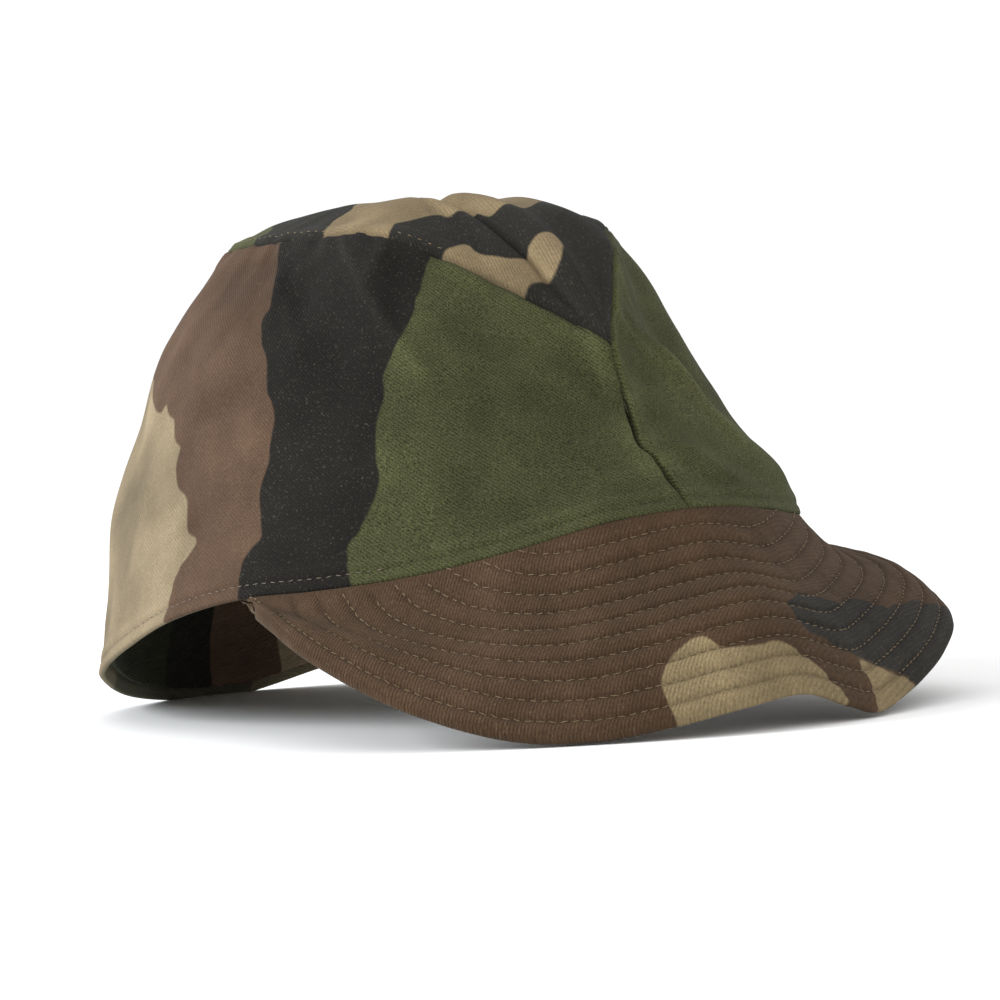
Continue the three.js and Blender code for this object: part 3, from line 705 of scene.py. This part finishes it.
# The peak: two plies quilted together by rows of stitching that follow its outer edge. Lengths are mm.
quilt = {"columns": 330, "rows": 100, "crowding": 0.95, "mmPerDegree": 2.1,
         "first": 4.2, "pitch": 5.3, "rowCount": 10, "groove": 0.5, "grooveWidth": 0.6, "puff": 0.2,
         "smoothing": 160, "flatAtSeam": 5.0, "flatAtEdge": 1.5, "rumple": (0.14, 4.0),
         "slack": (0.3, 22.0), "endFrom": 71.5, "endIn": 3.4, "endTuck": 2.4, "endDrop": 2.4,
         "endThinning": 0.8,
         "uprightFrom": 64.0, "uprightOver": 6.0, "insideShare": 0.35, "thickFrom": 0.15,
         "edgeReach": 0.8, "tuckPlaces": (-0.12, -0.08, -0.04)}


def distanceToEdge(points, edge):
    nearest = np.full(points.shape[:2], 1e9)
    for a, b in zip(edge[:-1], edge[1:]):
        t = np.clip(np.sum((points - a) * (b - a), -1) / np.sum((b - a) ** 2), 0, 1)
        nearest = np.minimum(nearest, np.linalg.norm(points - a - t[..., None] * (b - a), axis=-1))
    for _ in range(quilt["smoothing"]):  # rows of stitching turn corners gently
        nearest[1:-1] = (nearest[:-2] + 2 * nearest[1:-1] + nearest[2:]) / 4
    return nearest


def quiltRelief(fromEdge, x, y):
    rowAt = (fromEdge - quilt["first"]) / quilt["pitch"]
    stitched = (rowAt > -0.5) & (rowAt < quilt["rowCount"] - 0.5)
    offRow = np.abs(rowAt - np.round(rowAt)) * quilt["pitch"]
    groove = -quilt["groove"] * ridge(offRow, 0, quilt["grooveWidth"])
    puff = quilt["puff"] * np.sin(np.pi * np.clip(offRow / quilt["pitch"], 0, 0.5))
    (small, smallSize), (broad, broadSize) = quilt["rumple"], quilt["slack"]
    return (np.where(stitched, groove + puff, 0)
            + (small * softNoise(x, y, smallSize, 61) + broad * softNoise(x, y, broadSize, 62)))


def peakPiece():
    angles = np.linspace(-peak["end"], peak["end"], quilt["columns"])
    shares = np.linspace(0, 1, quilt["rows"]) ** quilt["crowding"]
    base = peakPoint(angles[:, None], shares[None, :])
    # both ends are drawn in under the hem, dropped and thinned
    ending = np.clip((np.abs(angles) - quilt["endFrom"]) / (peak["end"] - quilt["endFrom"]), 0, 1)
    ending = (ending ** 2 * (3 - 2 * ending))[:, None]
    inward = (quilt["endTuck"] + quilt["endIn"] * shares) * ending
    base -= rimOut(angles)[:, None] * inward[..., None]
    base[..., 2] -= quilt["endDrop"] * ending * shares
    upwards = np.array([0, 0, 1.0])
    upright = np.clip((np.abs(angles) - quilt["uprightFrom"]) / quilt["uprightOver"], 0, 1)[:, None, None]
    normals = unit(gridNormals(base, upwards) * (1 - upright) + upwards * upright)
    fromEdge = distanceToEdge(base, base[:, -1])
    height = quiltRelief(fromEdge, base[..., 0], base[..., 1])
    height *= (np.clip(fromEdge / quilt["flatAtEdge"], 0, 1)
               * np.clip(alongRows(base) / quilt["flatAtSeam"], 0, 1))
    outer = base + normals * height[..., None]
    middling = np.sin(np.pi * np.minimum(1, shares + quilt["thickFrom"]))
    depth = peak["thickEdge"] + (peak["thickMiddle"] - peak["thickEdge"]) * middling
    thinned = depth * (1 - quilt["endThinning"] * ending)
    under = base - normals * (thinned - quilt["insideShare"] * height)[..., None]
    under[..., 2] = np.maximum(under[..., 2], 0)
    # the tuck: up behind the hem, then a turn out under the rim
    out = rimOut(angles)[:, None]
    tuckUps = np.array([peak["tuckUp"], peak["tuckUp"] / 2])
    tucked = wallPoint(angles[:, None], tuckUps[None, :]) - out * peak["inside"]
    turn = rimPoint(angles)[:, None] - out * peak["inside"] - np.array([0, 0, peak["step"]])
    skin = np.concatenate([tucked, turn, outer], 1)
    lower = np.array([0, 0, peak["thickTuck"]])
    reverse = np.concatenate([tucked - out * peak["thickTuck"],
                              turn - out * peak["thickTuck"] - lower, under], 1)
    place = np.concatenate([quilt["tuckPlaces"], shares])
    k, wide = quilt["mmPerDegree"], peak["width"]
    along, outward = np.broadcast_arrays(angles[:, None] * k, place[None, :] * wide)
    inkDepth = printInks(along, outward, peakPrint["base"], peakPrint["patches"], (k, wide / 100), 67)
    # lay: along the cloth, and the relief height that the material turns into painted shade and highlight
    lay = skin.copy()
    lay[..., 2] = 0
    lay[:, len(quilt["tuckPlaces"]):, 2] = height
    piece = makeShell("peak_cloth", skin, reverse, lay, inkDepth, [printedPeakPaintedLight, peakReverse],
                      reach=quilt["edgeReach"])
    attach(piece, "root")
    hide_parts("peak")
    return outer, normals, fromEdge


print("quilting the peak")
peakSkin, peakNormals, peakFromEdge = peakPiece()

# The neck flap, folded up against the inside of the back of the crown.
flap = {"from": 82.0, "to": 278.0, "foot": 0.03, "top": 0.5, "thickness": 1.4, "gap": 0.8, "columns": 220,
        "rows": 44, "crowding": 0.4, "slackShare": 0.5, "paintedShadeSink": 0.5, "calmNear": 4.0, "calmShare": 0.3,
        "hem": 0.25, "hemPlace": 3.0, "hemWidth": 2.0}


def neckFlap():
    angles = np.linspace(flap["from"], flap["to"], flap["columns"])
    ups = flap["foot"] + (flap["top"] - flap["foot"]) * spread(flap["rows"], flap["crowding"])
    wall = wallPoint(angles[:, None], ups[None, :])
    normals = gridNormals(wall, rimOut(angles)[:, None, :])
    outer = wall - normals * (wallLook["thickness"] + flap["gap"])
    up, across = alongRows(outer), alongColumns(outer)
    x, y = np.broadcast_arrays(angles[:, None] * side["mmPerDegree"], ups[None, :] * side["mmHigh"])
    toEdge = np.minimum(up, up[:, -1:] - up)
    # the flap's relief level is lowered all over, which the cloth material turns into painted shade; it also
    # thins the flap a little
    height = flap["slackShare"] * clothSlack(x, y, 71) - flap["paintedShadeSink"]
    height *= np.clip(toEdge / flap["calmNear"], flap["calmShare"], 1)
    height += flap["hem"] * ridge(toEdge, flap["hemPlace"], flap["hemWidth"])
    inner = outer - normals * (flap["thickness"] + relief["insideShare"] * height[..., None])
    inkDepth = printInks(x, y, flapPrint["base"], flapPrint["patches"],
                         (side["mmPerDegree"], side["mmHigh"] / 100), 73)
    middle = flap["rows"] // 2
    # lay: along the cloth, up it, and the relief height that the material turns into painted shade and
    # highlight
    lay = np.stack([np.broadcast_to(across[:, middle:middle + 1], up.shape), up, height], -1)
    piece = makeShell("neck_flap_cloth", outer, inner, lay, inkDepth, [flapTwillPaintedLight, flapTwillPaintedLight])
    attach(piece, "root")
    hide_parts("neck_flap")


print("folding in the neck flap")
neckFlap()


# Stitching: dashes of thread laid along lines, one Geometry Nodes tree for all of it.
stitch = {"pitch": 2.6, "length": 2.0, "thickness": 0.29, "slant": 0.2, "raised": 0.02,
          "sides": 6, "rings": 5, "everyColumn": 2, "fewestPoints": 4}


def stitchTree():
    tree = bpy.data.node_groups.new("stitches", "GeometryNodeTree")
    face = tree.interface
    face.new_socket("Geometry", in_out="INPUT", socket_type="NodeSocketGeometry")
    for label in ("pitch", "length", "thickness", "slant"):
        face.new_socket(label, in_out="INPUT", socket_type="NodeSocketFloat")
    face.new_socket("thread", in_out="INPUT", socket_type="NodeSocketMaterial")
    face.new_socket("Geometry", in_out="OUTPUT", socket_type="NodeSocketGeometry")
    given = addNode(tree, "NodeGroupInput").outputs
    line = addNode(tree, "GeometryNodeMeshToCurve", inputs={"Mesh": given["Geometry"]})
    line = addNode(tree, "GeometryNodeResampleCurve", {"mode": "LENGTH"}, {
        "Curve": line.outputs[0], "Length": given["pitch"]})
    points = addNode(tree, "GeometryNodeCurveToPoints", {"mode": "EVALUATED"}, {"Curve": line.outputs[0]})
    sway = addNode(tree, "FunctionNodeRandomValue", {"data_type": "FLOAT_VECTOR"}, {
        0: (-1, -1, -1), 1: (1, 1, 1), "Seed": 5})
    swayed = addNode(tree, "ShaderNodeVectorMath", {"operation": "SCALE"}, {
        0: sway.outputs[0], "Scale": given["slant"]})
    heading = addNode(tree, "ShaderNodeVectorMath", {"operation": "ADD"}, {
        0: points.outputs["Tangent"], 1: swayed.outputs[0]})
    turn = addNode(tree, "FunctionNodeAlignRotationToVector", {"axis": "Z"}, {"Vector": heading.outputs[0]})
    dash = addNode(tree, "GeometryNodeMeshUVSphere", inputs={
        "Segments": stitch["sides"], "Rings": stitch["rings"], "Radius": 0.5})
    size = addNode(tree, "ShaderNodeCombineXYZ", inputs={
        0: given["thickness"], 1: given["thickness"], 2: given["length"]})
    placed = addNode(tree, "GeometryNodeInstanceOnPoints", inputs={
        "Points": points.outputs["Points"], "Instance": dash.outputs["Mesh"], "Rotation": turn.outputs[0],
        "Scale": size.outputs[0]})
    real = addNode(tree, "GeometryNodeRealizeInstances", inputs={"Geometry": placed.outputs[0]})
    smooth = addNode(tree, "GeometryNodeSetShadeSmooth", inputs={"Geometry": real.outputs[0]})
    coloured = addNode(tree, "GeometryNodeSetMaterial", inputs={
        "Geometry": smooth.outputs[0], "Material": given["thread"]})
    addNode(tree, "NodeGroupOutput", inputs={"Geometry": coloured.outputs[0]})
    return tree


stitches = stitchTree()


def sew(name, lines, length=stitch["length"], thread=threadDull, thickness=stitch["thickness"]):
    points, edges = [], []
    for line in lines:
        start = len(points)
        points += toWorld(line).tolist()
        edges += [(k, k + 1) for k in range(start, len(points) - 1)]
    mesh = bpy.data.meshes.new(name + "_line")
    mesh.from_pydata(points, edges, [])
    guide = bpy.data.objects.new(name, mesh)
    bpy.context.scene.collection.objects.link(guide)
    modifier = guide.modifiers.new("stitches", "NODES")
    modifier.node_group = stitches
    settings = {"pitch": stitch["pitch"] * mm, "length": length * mm, "thickness": thickness * mm,
                "slant": stitch["slant"], "thread": thread}
    for item in stitches.interface.items_tree:
        if item.in_out == "INPUT" and item.name in settings:
            modifier[item.identifier] = settings[item.name]
    evaluated = guide.evaluated_get(bpy.context.evaluated_depsgraph_get())
    sewn = bpy.data.meshes.new_from_object(evaluated)
    guide.modifiers.clear()
    guide.data = sewn
    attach(guide, "root")
    print(name, len(sewn.polygons), "faces")
    return guide


def onGrid(grid, column, row):  # a point between the rows of one column of a grid
    low = int(np.clip(math.floor(row), 0, grid.shape[1] - 2))
    return grid[column, low] + (grid[column, low + 1] - grid[column, low]) * (row - low)


def contour(grid, normals, distance, level, start=0, stop=None):  # the line on a skin at this distance
    line = []
    for k in range(start, stop or len(grid), stitch["everyColumn"]):
        values = distance[k]
        order = np.argsort(values)
        if values[order[0]] < level < values[order[-1]]:
            row = np.interp(level, values[order], order.astype(float))
            line.append(onGrid(grid, k, row) + onGrid(normals, k, row) * stitch["raised"])
    return np.array(line)


print("sewing")
rows = [quilt["first"] + quilt["pitch"] * k for k in range(quilt["rowCount"])]
lines = [contour(peakSkin, peakNormals, peakFromEdge, level) for level in rows]
sew("peak_stitches", [line for line in lines if len(line) >= stitch["fewestPoints"]])

# Over the peak the hem has no visible stitches. Finer thread holds it and the top panel.
hemSewn = {"clearOfPeak": 50.0, "length": 1.6, "thickness": 0.28}
topSewn = {"inside": 2.2, "firstColumn": 28, "lastColumn": 276, "length": 1.0, "thickness": 0.28}
for skin, normals, angles in (rightWall, leftWall):
    label = "right" if angles[0] == 0 else "left"
    bare = np.minimum(angles, 360 - angles) > hemSewn["clearOfPeak"]
    first, last = np.flatnonzero(bare)[[0, -1]]
    hemLine = contour(skin, normals, alongRows(skin), relief["stitchLine"], first, last + 1)
    sew("hem_stitches_" + label, [hemLine], hemSewn["length"], threadDark,
        hemSewn["thickness"])
toTopSeam = alongRows(topSkin)
toTopSeam = toTopSeam[:, -1:] - toTopSeam
seamLine = contour(topSkin, topNormals, toTopSeam, topSewn["inside"], topSewn["firstColumn"],
                   topSewn["lastColumn"])
sew("top_stitches", [seamLine], topSewn["length"], threadDull, topSewn["thickness"])


# Floor, light and camera. The camera turns about the target and then aims a little beside it.
studio = {"floor": "#ffffff", "floorRoughness": 0.9, "floorSize": 12.0, "world": 1.02,
          "target": (0.00015, 0.01925, 0.060), "azimuth": -36.3, "elevation": 1.7, "roll": -2.83,
          "distance": 1.2, "lens": 173.8, "sensor": 36, "aimRight": 0.01665, "aimUp": -0.00845}
print("setting up the studio")
half = studio["floorSize"] / 2
corners = [(-half, -half, 0), (half, -half, 0), (half, half, 0), (-half, half, 0)]
floorMesh = bpy.data.meshes.new("floor")
floorMesh.from_pydata(corners, [], [(0, 1, 2, 3)])
floor = bpy.data.objects.new("floor", floorMesh)
bpy.context.scene.collection.objects.link(floor)
paper = bpy.data.materials.new("mattPaper")  # white and even, so that only the shadow shows
paper.use_nodes = True
paperShader = paper.node_tree.nodes["Principled BSDF"]
paperShader.inputs["Base Color"].default_value = linearColour(studio["floor"])
paperShader.inputs["Roughness"].default_value = studio["floorRoughness"]
floorMesh.materials.append(paper)

bpy.context.scene.view_settings.view_transform = "Standard"
world = bpy.data.worlds.new("paleStudio")
bpy.context.scene.world = world
world.use_nodes = True
sky = world.node_tree.nodes["Background"]
sky.inputs["Color"].default_value = (1, 1, 1, 1)
sky.inputs["Strength"].default_value = studio["world"]

target = Vector(studio["target"])
lamps = [  # name, place, size, watts, colour
    ("key", (-1.5, 0.7, 0.8), 0.9, 32.0, (0.93, 0.97, 1.0)),
    ("front", (-0.3, -1.6, 1.3), 1.2, 2.0, (1, 1, 1))]
for name, place, size, watts, tint in lamps:
    data = bpy.data.lights.new(name, "AREA")
    data.size = size
    data.energy = watts
    data.color = tint
    lamp = bpy.data.objects.new(name, data)
    lamp.location = place
    lamp.rotation_euler = (target - Vector(place)).to_track_quat("-Z", "Y").to_euler()
    bpy.context.scene.collection.objects.link(lamp)

turn, tilt, roll = (math.radians(studio[key]) for key in ("azimuth", "elevation", "roll"))
back = Vector((math.sin(turn) * math.cos(tilt), -math.cos(turn) * math.cos(tilt), math.sin(tilt)))
right = Vector((math.cos(turn), math.sin(turn), 0))
upward = back.cross(right)
right, upward = (right * math.cos(roll) + upward * math.sin(roll),
                 upward * math.cos(roll) - right * math.sin(roll))
place = target + back * studio["distance"]
back = (place - target - right * studio["aimRight"] - upward * studio["aimUp"]).normalized()
right = upward.cross(back).normalized()
upward = back.cross(right)
lens = bpy.data.cameras.new("camera")
lens.lens = studio["lens"]
lens.sensor_width = studio["sensor"]
camera = bpy.data.objects.new("camera", lens)
axes = [[right[k], upward[k], back[k], place[k]] for k in range(3)]
camera.matrix_world = Matrix(axes + [[0, 0, 0, 1]])
bpy.context.scene.collection.objects.link(camera)
bpy.context.scene.camera = camera
